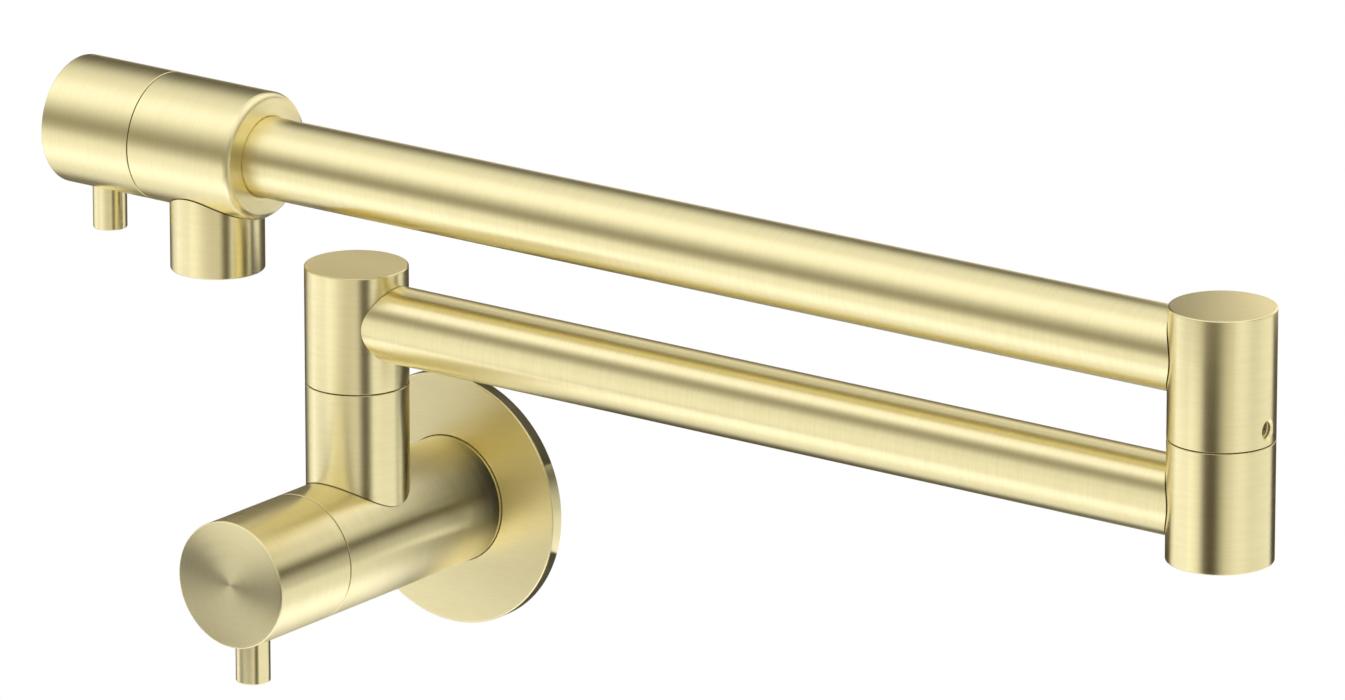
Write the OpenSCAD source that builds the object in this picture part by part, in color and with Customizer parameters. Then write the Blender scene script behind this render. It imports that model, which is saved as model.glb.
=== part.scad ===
/* [Wall flange] */
// Diameter of the round plate against the wall
flange_d = 70; // [60:1:90]
// Thickness of the plate
flange_t = 3.6; // [3:0.1:6]
// Thickness of the gasket in the plate's back
gasket_t = 1.2; // [0.8:0.1:1.6]

/* [Body and inlet] */
// Diameter of the valve body, the outlet head and both handles
body_d = 35; // [34:0.5:40]
// Distance from the wall to the seam between body and handle
body_l = 69.4; // [66:0.2:80]
// Distance from the wall to the axis of the riser
riser_y = 44; // [42:0.5:50]
// Bore of the water way
way_d = 10; // [8:0.5:11]
// Outside diameter of the inlet thread, G1/2
inlet_d = 20.96; // [20.9:0.01:21]
// Length of the inlet thread behind the wall
inlet_out = 16; // [10:0.5:20]
// Length of the inlet thread inside the body
inlet_in = 12; // [10:0.5:14]
// Bore of the inlet nipple
inlet_bore_d = 12; // [10:0.5:12.5]

/* [Riser and elbow] */
// Diameter of the riser and of the elbow
post_d = 28; // [27:0.5:32]
// Height of the riser's seam above the body axis
riser_seam_z = 43.2; // [40:0.2:50]
// Height of the riser's collar above its seam
riser_collar_h = 32.4; // [31:0.2:38]
// Height of the elbow's lower half
elbow_base_h = 32.4; // [31:0.2:38]
// Height of the elbow's upper half
elbow_top_h = 34.9; // [33:0.1:42]
// Diameter of the swivel spigots
spigot_d = 18; // [17:0.2:19]
// Thickness of the swivels' sealing rings
swivel_ring_d = 1.4; // [1:0.1:1.6]
// Diameter of the grub screws, at the root of their thread
screw_d = 4.2; // [3.6:0.1:4.6]
// Height of a grub screw above its seam
screw_z = 4.4; // [4:0.1:4.8]

/* [Arms] */
// Distance between the riser and elbow axes
arm_l = 279; // [200:1:350]
// Diameter of the lower arm
lower_tube_d = 20.9; // [19:0.1:22]
// Distance from the lower arm's axis to the seams of riser and elbow
lower_tube_up = 18.1; // [17.8:0.1:20]
// Diameter of the upper arm
upper_tube_d = 21.9; // [19:0.1:23]
// Distance from the elbow's seam to the upper arm's axis
upper_tube_up = 20.9; // [19:0.1:22]
// Wall of both arm tubes
tube_wall = 1.2; // [0.8:0.1:1.8]

/* [Outlet head] */
// How far the head starts past the riser's axis with the arms folded
head_past = 30; // [20:0.5:60]
// Length of the head up to its handle's seam
head_l = 34.3; // [34:0.1:40]
// Radius of the round edge at the near end of the head
head_fillet = 2; // [1:0.1:3]
// Distance from the near end of the head to the outlet's axis
outlet_x = 17.4; // [16:0.1:17.8]
// Diameter of the outlet
outlet_d = 25.6; // [25:0.1:28]
// Distance from the head's axis down to the mouth of the outlet
outlet_drop = 33.8; // [33:0.2:45]
// Diameter of the aerator's thread
aerator_d = 22; // [21:0.1:22.4]

/* [Handles] */
// Length of a handle's cap
cap_l = 29.7; // [27:0.1:34]
// Diameter of a lever pin
pin_d = 9.3; // [8:0.1:10]
// Distance from a handle's axis to the tip of its lever pin
pin_reach = 29; // [26:0.5:40]
// Distance from a cap's end face to the axis of its lever pin
pin_inset = 9.4; // [9:0.1:11]

/* [Hidden] */
$fn = 96;
gold = [0.83, 0.73, 0.58];
brass = [0.76, 0.60, 0.32];
steel = [0.68, 0.69, 0.71];
rubber = [0.10, 0.10, 0.11];
ceramic = [0.94, 0.94, 0.92];
acetal = [0.88, 0.88, 0.84];

// Clearances, the overrun of every cut, and the edge breaks
seat_gap = 0.02;
braze_gap = 0.03;
run_gap = 0.05;
loose_gap = 0.2;
seam_gap = 0.3;
cut = 1;
edge = 0.4;
seam_edge = 0.2;
ring_slack = 0.3;

// Wall plate
flange_rim = 3;
flange_hub_wall = 2.6;
flange_hole_gap = 0.25;
flange_ring_d = 1.4;

// Inlet end of the body
body_back = 1;
thread_bevel = 0.5;
nipple_neck_depth = 0.6;
inlet_key_af = 12.8;
inlet_key_l = 6;
filter_t = 2;
filter_rim = 3;
filter_mesh_t = 0.4;
filter_hole_d = 1.3;
filter_pitch = 1.9;
filter_rings = 3;
feed_d = 16;
seat_wall = 2;

// Posts, their spigots and rings
spur_wall = 2;
spur_sink = 4.2;
spur_margin = 0.6;
spigot_wall = 3;
spigot_up = 11.6;
spigot_down = 8;
socket_step = 1.2;
post_floor = 3.6;
post_roof = 4.8;
groove_w = 3.4;
groove_depth = 1.6;
swivel_ring_up = 7.6;
swivel_ring_step = 2.4;
slip_t = 1;
slip_w = 3;
screw_recess = 2.3;
screw_mouth = 0.35;
screw_key_af = 2;
screw_key_l = 1.2;
dog_d = 2.8;
elbow_screw_turn = 2;
riser_screw_turn = 180;

// Ferrules between posts and tubes
ferrule_wall = 2;
ferrule_inset = 0.5;
ferrule_l = 6;

// Valve cartridge, measured from its seat towards the handle
chamber_d = 24;
chamber_l = 13.5;
nut_bore_d = 28.4;
nut_l = 3.9;
nut_key_af = 17;
sleeve_d = 22;
sleeve_bore_d = 18.9;
sleeve_gap = 0.3;
window_w = 12;
window_inset = 0.4;
housing_flange_t = 3.4;
housing_ring_d = 1.6;
neck_d = 14.8;
neck_l = 2.6;
seat_seal_t = 1.4;
seat_seal_wall = 2.4;
disc_t = 2.5;
disc_gap = 0.02;
disc_port_d = 4.4;
disc_port_x = 4.6;
key_w = 3;
key_h = 1.1;
key_l = 12;
foot_d = 15.8;
foot_l = 1.9;
thrust_d = 13.2;
thrust_l = 3;
stem_d = 10;
stem_ring_d = 1.5;
stem_ring_from = 13.6;
stem_ring_step = 3;
clip_d = 13;
clip_t = 0.8;
clip_depth = 0.6;
clip_slot = 3;
clip_gap = 0.1;
stem_past_clip = 0.6;
spindle_d = 8;
spindle_flat = 3.3;
spindle_flat_l = 12;

// Handles
cap_front = 4.8;
cavity_d = 20;
cavity_l = 6;
pin_sink = 4.4;
stud_d = 6;
stud_l = 4.2;
cap_screw_l = 4.8;
cap_screw_key_af = 3;
cap_screw_key_l = 2.5;

// Outlet and aerator
tube_socket = 11;
outlet_spur_d = 17;
outlet_spur_bore_d = 13;
outlet_port_d = 8;
outlet_port_margin = 0.3;
aerator_recess = 0.9;
aerator_l = 9;
aerator_wall = 1.7;
aerator_lip = 0.8;
aerator_lip_t = 1.2;
aerator_seal_t = 1.5;
aerator_seal_w = 2.4;
insert_wall = 1;
jet_plate_t = 2.4;
jet_d = 1.7;
jet_pitch = 2.45;
jet_rings = 3;

// Derived radii
flange_r = flange_d / 2;
body_r = body_d / 2;
way_r = way_d / 2;
inlet_r = inlet_d / 2;
post_r = post_d / 2;
spigot_r = spigot_d / 2;
lower_tube_r = lower_tube_d / 2;
upper_tube_r = upper_tube_d / 2;
outlet_r = outlet_d / 2;
aerator_r = aerator_d / 2;
pin_r = pin_d / 2;
screw_r = screw_d / 2;
stud_r = stud_d / 2;
flange_hole_r = body_r + flange_hole_gap;
gasket_in_r = flange_hole_r + flange_hub_wall;
gasket_out_r = flange_r - flange_rim;
spur_r = way_r + spur_wall;
ferrule_r = way_r + ferrule_wall;
slip_r = spigot_r + slip_w;
chamber_r = chamber_d / 2;
nut_bore_r = nut_bore_d / 2;
sleeve_r = sleeve_d / 2;
sleeve_bore_r = sleeve_bore_d / 2;
housing_flange_r = nut_bore_r - run_gap;
disc_r = sleeve_bore_r - run_gap;
disc_port_r = disc_port_d / 2;
stem_r = stem_d / 2;
spindle_r = spindle_d / 2;
insert_r = aerator_r - aerator_wall - run_gap;

// Derived places
inlet_stop = inlet_in + filter_t;
main_seat = riser_y + spur_r + spur_margin - chamber_l;
spur_floor = body_r - spur_sink;
lower_tube_z = riser_seam_z + lower_tube_up;
elbow_seam_z = lower_tube_z + lower_tube_up;
upper_tube_z = elbow_seam_z + upper_tube_up;
head_face = arm_l + head_past;
head_stop = head_face + tube_socket;
head_seat = head_stop + seat_wall;
head_seam = head_face + head_l;
outlet_l = head_face + outlet_x;
outlet_port_shift = (outlet_spur_bore_d - outlet_port_d) / 2 - outlet_port_margin;
aerator_from = outlet_drop - aerator_recess - aerator_l;
turn_from = seat_seal_t + disc_t + disc_gap;
foot_from = turn_from + disc_t;
ceiling = foot_from + foot_l + thrust_l + run_gap;
housing_top = chamber_l + housing_flange_t;
neck_end = housing_top + neck_l;
clip_from = neck_end + clip_gap;
stem_end = clip_from + clip_t + stem_past_clip;
pin_at = cap_l - pin_inset;
spindle_in_cap = cap_l - cap_front;

// Runs a piece out from the wall, at a distance d from it
module from_wall(d = 0) {
    rotate([90, 0, 0]) translate([0, 0, d]) children();
}

// Runs a piece from the elbow along the upper arm, at a distance d from the elbow's axis
module to_head(d = 0) {
    translate([arm_l, -riser_y, upper_tube_z])
        rotate([0, -90, 0])
            rotate([0, 0, -90])
                translate([0, 0, d]) children();
}

// Stands a piece on the riser's axis
module on_riser(z = 0) {
    translate([0, -riser_y, z]) children();
}

// Stands a piece on the elbow's axis
module on_elbow(z = 0) {
    translate([arm_l, -riser_y, z]) children();
}

// Hangs a piece on the outlet's axis, at a distance d below the head's axis
module on_outlet(d = 0) {
    translate([arm_l - outlet_l, -riser_y, upper_tube_z])
        rotate([180, 0, 0])
            translate([0, 0, d]) children();
}

// Points a piece down from a cap's axis, along its lever pin
module on_pin() {
    translate([0, 0, pin_at]) rotate([90, 0, 0]) children();
}

// Points a piece out from a post's axis
module sideways(turn) {
    rotate([0, 0, turn]) rotate([0, 90, 0]) children();
}

// A turned bar with bevelled ends
module bar(r, l, low = 0, high = 0) {
    foot = low > 0 ? [[r - low, 0], [r, low]] : [[r, 0]];
    head = high > 0 ? [[r, l - high], [r - high, l]] : [[r, l]];
    rotate_extrude() polygon(concat([[0, 0]], foot, head, [[0, l]]));
}

// A plain cylinder between two heights
module span(r, from, to) {
    translate([0, 0, from]) cylinder(r = r, h = to - from);
}

// A flat ring between two heights
module hoop(r_out, r_in, from, to) {
    difference() {
        span(r_out, from, to);
        span(r_in, from - cut, to + cut);
    }
}

// A sealing ring of outside radius r and thickness d
module seal_ring(r, d, z) {
    translate([0, 0, z]) rotate_extrude() translate([r - d / 2, 0]) circle(d = d);
}

// The groove that a shaft of radius r has round it
module groove(r, z, w, depth) {
    translate([0, 0, z - w / 2]) rotate_extrude() translate([r - depth, 0]) square([depth + cut, w]);
}

// A six sided hole for a key
module key_hole(af, from, to) {
    translate([0, 0, from]) cylinder(r = af / sqrt(3), h = to - from, $fn = 6);
}

// Rings of small holes round a middle one
module sieve(pitch, rings, d, from, to) {
    span(d / 2, from, to);
    for (n = [1 : rings], i = [0 : 6 * n - 1])
        rotate([0, 0, i * 60 / n]) translate([n * pitch, 0, 0]) span(d / 2, from, to);
}

module wall_flange() {
    ring_r = body_r + 2 * seat_gap + flange_ring_d;
    ring_w = flange_ring_d + ring_slack;
    color(gold) from_wall() difference() {
        bar(flange_r, flange_t, 0, edge);
        span(flange_hole_r, -cut, flange_t + cut);
        span(ring_r, (flange_t - ring_w) / 2, (flange_t + ring_w) / 2);
        hoop(gasket_out_r, gasket_in_r, -cut, gasket_t);
    }
}

module flange_gasket() {
    color(rubber) from_wall() hoop(gasket_out_r - loose_gap, gasket_in_r + loose_gap, 0, gasket_t);
}

module flange_ring() {
    color(rubber) from_wall() seal_ring(body_r + seat_gap + flange_ring_d, flange_ring_d, flange_t / 2);
}

module inlet_nipple() {
    color(brass) from_wall() difference() {
        translate([0, 0, -inlet_out]) bar(inlet_r, inlet_out + inlet_in, thread_bevel, thread_bevel);
        span(inlet_bore_d / 2, -inlet_out - cut, inlet_in + cut);
        key_hole(inlet_key_af, inlet_in - inlet_key_l, inlet_in + cut);
        groove(inlet_r, body_back / 2, body_back, nipple_neck_depth);
    }
}

module inlet_filter_washer() {
    mesh_from = inlet_in + (filter_t - filter_mesh_t) / 2;
    color(steel) from_wall() {
        hoop(inlet_r - run_gap, inlet_r - filter_rim, inlet_in, inlet_stop);
        difference() {
            span(inlet_r - filter_rim + seat_gap, mesh_from, mesh_from + filter_mesh_t);
            sieve(filter_pitch, filter_rings, filter_hole_d, inlet_in, inlet_stop);
        }
    }
}

module valve_body() {
    color(gold) difference() {
        from_wall(body_back) bar(body_r, body_l - seam_gap / 2 - body_back, edge, seam_edge);
        from_wall() {
            span(inlet_r + seat_gap, 0, inlet_stop);
            span(feed_d / 2, inlet_stop - cut, main_seat - seat_wall);
            span(way_r, inlet_stop, main_seat + cut);
            span(chamber_r, main_seat, main_seat + chamber_l + cut);
            span(nut_bore_r, main_seat + chamber_l, body_l + cut);
        }
        on_riser() span(spur_r + braze_gap, spur_floor, body_r + cut);
        on_riser() span(way_r, 0, body_r);
    }
}

// The bar that a post is brazed to, as the hollow it leaves in the post's end
module saddle(r) {
    cylinder(r = body_r + braze_gap, h = 2 * (r + cut), center = true);
}

module riser_stub() {
    color(gold) difference() {
        union() {
            difference() {
                on_riser() bar(post_r, riser_seam_z - seam_gap / 2, 0, seam_edge);
                from_wall(riser_y) saddle(post_r);
            }
            on_riser() span(spur_r, spur_floor, body_r + cut);
        }
        on_riser() {
            span(way_r, 0, riser_seam_z);
            span(spigot_r - socket_step, body_r + post_floor, riser_seam_z);
            span(spigot_r + seat_gap, riser_seam_z - spigot_down, riser_seam_z + cut);
        }
    }
}

// The turning joint of a post, with its seam at height 0
module spigot() {
    ring_depth = swivel_ring_d + seat_gap - run_gap / 2;
    difference() {
        translate([0, 0, -spigot_down]) bar(spigot_r, spigot_down + spigot_up, edge, edge);
        span(spigot_r - spigot_wall, -spigot_down - cut, spigot_up + cut);
        groove(spigot_r, screw_z, groove_w, groove_depth);
        for (i = [0 : 1])
            groove(spigot_r, swivel_ring_up + i * swivel_ring_step, swivel_ring_d + ring_slack, ring_depth);
    }
}

module spigot_rings() {
    for (i = [0 : 1])
        seal_ring(spigot_r + run_gap / 2, swivel_ring_d, swivel_ring_up + i * swivel_ring_step);
}

module slip_washer() {
    hoop(slip_r, spigot_r + loose_gap, -seam_gap / 2, slip_t - seam_gap / 2);
}

// The half of a post that turns on the spigot
module collar(h, up, screw_turn) {
    difference() {
        translate([0, 0, seam_gap / 2]) bar(post_r, h - seam_gap / 2, seam_edge, edge);
        span(spigot_r + run_gap, 0, h - post_roof);
        span(slip_r + loose_gap, 0, slip_t - seam_gap / 2 + run_gap);
        translate([0, 0, screw_z]) sideways(screw_turn) {
            span(screw_r + seat_gap, 0, post_r + cut);
            translate([0, 0, post_r - screw_mouth])
                cylinder(r1 = screw_r, r2 = screw_r + screw_mouth + cut, h = screw_mouth + cut);
        }
        children();
    }
}

// The hole in a post that a ferrule fits
module ferrule_port(turn) {
    sideways(turn) span(ferrule_r + braze_gap, 0, post_r + cut);
}

module dog_screw(turn) {
    tip = spigot_r - groove_depth + loose_gap;
    outer = post_r - screw_recess;
    translate([0, 0, screw_z]) sideways(turn) difference() {
        union() {
            span(screw_r, spigot_r + loose_gap, outer);
            span(dog_d / 2, tip, outer - screw_key_l);
        }
        key_hole(screw_key_af, outer - screw_key_l, outer + cut);
    }
}

module riser_spigot() {
    color(brass) on_riser(riser_seam_z) spigot();
}

module riser_orings() {
    color(rubber) on_riser(riser_seam_z) spigot_rings();
}

module riser_slip_washer() {
    color(acetal) on_riser(riser_seam_z) slip_washer();
}

module riser_collar() {
    color(gold) on_riser(riser_seam_z) collar(riser_collar_h, lower_tube_up, riser_screw_turn)
        translate([0, 0, lower_tube_up]) ferrule_port(0);
}

module riser_screw() {
    color(steel) on_riser(riser_seam_z) dog_screw(riser_screw_turn);
}

// A ferrule from a post into a tube of radius tube_r
module ferrule(tube_r) {
    end = post_r + ferrule_l;
    difference() {
        union() {
            span(ferrule_r, spigot_r + ferrule_inset, end);
            span(tube_r - tube_wall - braze_gap, post_r + loose_gap, end);
        }
        span(way_r, 0, end + cut);
    }
}

module lower_arm_tube() {
    color(gold) difference() {
        on_riser(lower_tube_z) sideways(0) hoop(lower_tube_r, lower_tube_r - tube_wall, 0, arm_l);
        on_riser() span(post_r + braze_gap, riser_seam_z, elbow_seam_z);
        on_elbow() span(post_r + braze_gap, riser_seam_z, elbow_seam_z);
    }
}

module lower_arm_inner_ferrule() {
    color(brass) on_riser(lower_tube_z) sideways(0) ferrule(lower_tube_r);
}

module lower_arm_outer_ferrule() {
    color(brass) on_elbow(lower_tube_z) sideways(180) ferrule(lower_tube_r);
}

module elbow_base() {
    color(gold) on_elbow(elbow_seam_z) difference() {
        translate([0, 0, -elbow_base_h]) bar(post_r, elbow_base_h - seam_gap / 2, edge, seam_edge);
        span(spigot_r - socket_step, post_floor - elbow_base_h, 0);
        span(spigot_r + seat_gap, -spigot_down, cut);
        translate([0, 0, -lower_tube_up]) ferrule_port(180);
    }
}

module elbow_spigot() {
    color(brass) on_elbow(elbow_seam_z) spigot();
}

module elbow_orings() {
    color(rubber) on_elbow(elbow_seam_z) spigot_rings();
}

module elbow_slip_washer() {
    color(acetal) on_elbow(elbow_seam_z) slip_washer();
}

module elbow_top() {
    color(gold) on_elbow(elbow_seam_z) collar(elbow_top_h, upper_tube_up, elbow_screw_turn)
        translate([0, 0, upper_tube_up]) ferrule_port(180);
}

module elbow_screw() {
    color(steel) on_elbow(elbow_seam_z) dog_screw(elbow_screw_turn);
}

module upper_arm_ferrule() {
    color(brass) on_elbow(upper_tube_z) sideways(180) ferrule(upper_tube_r);
}

module upper_arm_tube() {
    color(gold) difference() {
        to_head() hoop(upper_tube_r, upper_tube_r - tube_wall, 0, head_stop);
        on_elbow() span(post_r + braze_gap, elbow_seam_z, elbow_seam_z + elbow_top_h);
    }
}

module spout_head() {
    long = head_l - seam_gap / 2;
    color(gold) difference() {
        to_head(head_face) rotate_extrude() union() {
            square([body_r - head_fillet, long]);
            translate([0, head_fillet]) square([body_r, long - head_fillet - seam_edge]);
            translate([0, head_fillet]) square([body_r - seam_edge, long - head_fillet]);
            translate([body_r - head_fillet, head_fillet]) circle(r = head_fillet);
        }
        to_head() {
            span(upper_tube_r + seat_gap, head_face - cut, head_stop);
            span(way_r, head_stop - cut, head_seat + cut);
            span(chamber_r, head_seat, head_seat + chamber_l + cut);
            span(nut_bore_r, head_seat + chamber_l, head_seam + cut);
        }
        on_outlet() span(outlet_spur_d / 2 + braze_gap, spur_floor, body_r + cut);
        on_outlet() translate([-outlet_port_shift, 0, 0]) span(outlet_port_d / 2, 0, body_r);
    }
}

module outlet_tube() {
    color(gold) difference() {
        union() {
            difference() {
                on_outlet() bar(outlet_r, outlet_drop, 0, edge);
                to_head(outlet_l) saddle(outlet_r);
            }
            on_outlet() span(outlet_spur_d / 2, spur_floor, body_r + cut);
        }
        on_outlet() {
            span(outlet_spur_bore_d / 2, 0, aerator_from);
            span(aerator_r + seat_gap, aerator_from - aerator_seal_t, outlet_drop + cut);
        }
    }
}

module aerator_washer() {
    color(rubber) on_outlet(aerator_from)
        hoop(aerator_r - loose_gap, aerator_r - aerator_seal_w, -aerator_seal_t, 0);
}

module aerator_housing() {
    color(brass) on_outlet(aerator_from) difference() {
        bar(aerator_r, aerator_l, 0, edge);
        span(aerator_r - aerator_wall, -cut, aerator_l - aerator_lip_t);
        span(aerator_r - aerator_wall - aerator_lip, 0, aerator_l + cut);
    }
}

module aerator_insert() {
    long = aerator_l - aerator_lip_t;
    color(acetal) on_outlet(aerator_from) difference() {
        span(insert_r, 0, long);
        span(insert_r - insert_wall, -cut, long - jet_plate_t);
        sieve(jet_pitch, jet_rings, jet_d, 0, long + cut);
    }
}

// The pieces of a valve cartridge, with the seat at height 0
module seat_seal() {
    hoop(disc_r, disc_r - seat_seal_wall, 0, seat_seal_t);
}

module fixed_disc() {
    difference() {
        span(disc_r, seat_seal_t, seat_seal_t + disc_t);
        for (side = [-1, 1])
            translate([side * disc_port_x, 0, 0]) span(disc_port_r, 0, turn_from + cut);
    }
}

module turning_disc() {
    slot_w = key_w + 2 * run_gap;
    slot_l = key_l + 2 * run_gap;
    difference() {
        span(disc_r, turn_from, foot_from);
        for (turn = [90, 270]) rotate([0, 0, turn]) {
            translate([disc_port_x, 0, 0]) span(disc_port_r, turn_from - cut, foot_from + cut);
            translate([disc_port_x, -disc_port_r, turn_from - cut])
                cube([disc_r, disc_port_d, disc_t + 2 * cut]);
        }
        translate([-slot_l / 2, -slot_w / 2, foot_from - key_h - run_gap])
            cube([slot_l, slot_w, key_h + run_gap + cut]);
    }
}

module cartridge_housing() {
    ring_depth = housing_ring_d + 2 * seat_gap - run_gap;
    window_from = foot_from + window_inset;
    difference() {
        union() {
            span(sleeve_r, sleeve_gap, housing_top);
            span(housing_flange_r, chamber_l, housing_top);
            span(neck_d / 2, chamber_l, neck_end);
        }
        span(sleeve_bore_r, 0, ceiling);
        span(stem_r + run_gap, 0, neck_end + cut);
        groove(housing_flange_r, chamber_l + housing_flange_t / 2, housing_ring_d + ring_slack, ring_depth);
        translate([-window_w / 2, -sleeve_r - cut, window_from])
            cube([window_w, 2 * (sleeve_r + cut), ceiling - window_from]);
    }
}

module cartridge_oring() {
    seal_ring(nut_bore_r - seat_gap, housing_ring_d, chamber_l + housing_flange_t / 2);
}

module retaining_nut() {
    difference() {
        span(nut_bore_r - seat_gap, housing_top, housing_top + nut_l);
        key_hole(nut_key_af, housing_top - cut, housing_top + nut_l + cut);
    }
}

// The spindle, where seam is the distance from the valve's seat to its handle
module spindle(seam) {
    end = seam + spindle_in_cap - loose_gap;
    difference() {
        union() {
            translate([-key_l / 2, -key_w / 2, foot_from - key_h]) cube([key_l, key_w, key_h + foot_l]);
            span(foot_d / 2, foot_from, foot_from + foot_l);
            span(thrust_d / 2, foot_from, foot_from + foot_l + thrust_l);
            span(stem_r, foot_from, stem_end);
            translate([0, 0, foot_from]) bar(spindle_r, end - foot_from, 0, edge);
        }
        for (i = [0 : 1])
            groove(stem_r, stem_ring_from + i * stem_ring_step, stem_ring_d + ring_slack,
                stem_ring_d + seat_gap - run_gap / 2);
        groove(stem_r, clip_from + clip_t / 2, clip_t + seat_gap, clip_depth);
        translate([-spindle_d / 2 - cut, -spindle_r - cut, end - spindle_flat_l])
            cube([spindle_d + 2 * cut, spindle_r + cut - spindle_flat, spindle_flat_l + cut]);
    }
}

module spindle_orings() {
    for (i = [0 : 1])
        seal_ring(stem_r + run_gap / 2, stem_ring_d, stem_ring_from + i * stem_ring_step);
}

module spindle_clip() {
    difference() {
        hoop(clip_d / 2, stem_r - clip_depth + seat_gap, clip_from, clip_from + clip_t);
        translate([0, -clip_slot / 2, clip_from - cut]) cube([clip_d, clip_slot, clip_t + 2 * cut]);
    }
}

// The pieces of a handle, with its seam at height 0 and its pin pointing down
module handle_cap() {
    difference() {
        translate([0, 0, seam_gap / 2]) bar(body_r, cap_l - seam_gap / 2, seam_edge, edge);
        span(cavity_d / 2, 0, cavity_l);
        span(spindle_r + seat_gap, 0, spindle_in_cap);
        on_pin() {
            span(stud_r + seat_gap, 0, body_r);
            span(pin_r + seat_gap, body_r - pin_sink, body_r + cut);
        }
    }
}

module lever_pin() {
    foot = body_r - pin_sink;
    on_pin() {
        translate([0, 0, foot]) bar(pin_r, pin_reach - foot, edge, edge);
        span(stud_r, foot - stud_l, foot + cut);
    }
}

module handle_screw() {
    foot = spindle_flat + run_gap;
    on_pin() difference() {
        span(stud_r, foot, foot + cap_screw_l);
        key_hole(cap_screw_key_af, foot + cap_screw_l - cap_screw_key_l, foot + cap_screw_l + cut);
    }
}

module main_seat_seal() {
    color(rubber) from_wall(main_seat) seat_seal();
}

module main_fixed_disc() {
    color(ceramic) from_wall(main_seat) fixed_disc();
}

module main_turning_disc() {
    color(ceramic) from_wall(main_seat) turning_disc();
}

module main_cartridge_housing() {
    color(brass) from_wall(main_seat) cartridge_housing();
}

module main_cartridge_oring() {
    color(rubber) from_wall(main_seat) cartridge_oring();
}

module main_retaining_nut() {
    color(brass) from_wall(main_seat) retaining_nut();
}

module main_spindle() {
    color(brass) from_wall(main_seat) spindle(body_l - main_seat);
}

module main_spindle_orings() {
    color(rubber) from_wall(main_seat) spindle_orings();
}

module main_spindle_clip() {
    color(steel) from_wall(main_seat) spindle_clip();
}

module main_handle_cap() {
    color(gold) from_wall(body_l) handle_cap();
}

module main_lever_pin() {
    color(gold) from_wall(body_l) lever_pin();
}

module main_handle_screw() {
    color(steel) from_wall(body_l) handle_screw();
}

module head_seat_seal() {
    color(rubber) to_head(head_seat) seat_seal();
}

module head_fixed_disc() {
    color(ceramic) to_head(head_seat) fixed_disc();
}

module head_turning_disc() {
    color(ceramic) to_head(head_seat) turning_disc();
}

module head_cartridge_housing() {
    color(brass) to_head(head_seat) cartridge_housing();
}

module head_cartridge_oring() {
    color(rubber) to_head(head_seat) cartridge_oring();
}

module head_retaining_nut() {
    color(brass) to_head(head_seat) retaining_nut();
}

module head_spindle() {
    color(brass) to_head(head_seat) spindle(head_seam - head_seat);
}

module head_spindle_orings() {
    color(rubber) to_head(head_seat) spindle_orings();
}

module head_spindle_clip() {
    color(steel) to_head(head_seat) spindle_clip();
}

module head_handle_cap() {
    color(gold) to_head(head_seam) handle_cap();
}

module head_lever_pin() {
    color(gold) to_head(head_seam) lever_pin();
}

module head_handle_screw() {
    color(steel) to_head(head_seam) handle_screw();
}

wall_flange();
flange_gasket();
flange_ring();
valve_body();
inlet_nipple();
inlet_filter_washer();
riser_stub();
riser_spigot();
riser_orings();
riser_slip_washer();
main_seat_seal();
main_fixed_disc();
main_cartridge_housing();
main_cartridge_oring();
main_retaining_nut();
main_turning_disc();
main_spindle();
main_spindle_orings();
main_spindle_clip();
main_handle_cap();
main_lever_pin();
main_handle_screw();
riser_collar();
riser_screw();
lower_arm_tube();
lower_arm_inner_ferrule();
lower_arm_outer_ferrule();
elbow_base();
elbow_spigot();
elbow_orings();
elbow_slip_washer();
elbow_top();
elbow_screw();
upper_arm_ferrule();
upper_arm_tube();
spout_head();
outlet_tube();
head_seat_seal();
head_fixed_disc();
head_cartridge_housing();
head_cartridge_oring();
head_retaining_nut();
aerator_housing();
aerator_insert();
aerator_washer();
head_turning_disc();
head_spindle();
head_spindle_orings();
head_spindle_clip();
head_handle_cap();
head_lever_pin();
head_handle_screw();
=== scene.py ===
"""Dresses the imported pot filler: turned and brushed pieces, threads, finishes, stage and camera."""

import math
import bpy
from mathutils import Matrix, Vector


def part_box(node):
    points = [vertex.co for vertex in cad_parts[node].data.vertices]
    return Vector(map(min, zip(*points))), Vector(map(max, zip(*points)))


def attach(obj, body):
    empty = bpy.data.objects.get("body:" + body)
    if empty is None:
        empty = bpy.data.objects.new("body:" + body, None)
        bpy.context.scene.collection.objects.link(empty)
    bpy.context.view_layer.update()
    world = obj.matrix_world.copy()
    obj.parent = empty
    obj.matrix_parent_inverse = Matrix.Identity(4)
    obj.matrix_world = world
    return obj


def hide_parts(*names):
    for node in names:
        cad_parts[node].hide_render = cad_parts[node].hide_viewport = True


bl_info = {
    "name": "Pot Filler Dress",
    "version": (1, 0, 0),
    "blender": (4, 5, 0),
    "location": "3D Viewport > Sidebar > Pot Filler",
    "description": "Turned and brushed pieces, threads and finishes for a wall mounted pot filler",
    "category": "Object",
}

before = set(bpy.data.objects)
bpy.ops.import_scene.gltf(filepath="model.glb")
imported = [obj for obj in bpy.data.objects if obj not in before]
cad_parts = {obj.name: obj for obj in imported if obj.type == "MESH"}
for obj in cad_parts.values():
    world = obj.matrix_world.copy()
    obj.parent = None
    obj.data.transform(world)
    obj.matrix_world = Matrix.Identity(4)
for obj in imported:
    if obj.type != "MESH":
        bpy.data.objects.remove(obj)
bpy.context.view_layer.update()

MM = 0.001
X = Vector((1, 0, 0))
Y = Vector((0, 1, 0))
Z = Vector((0, 0, 1))

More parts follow.
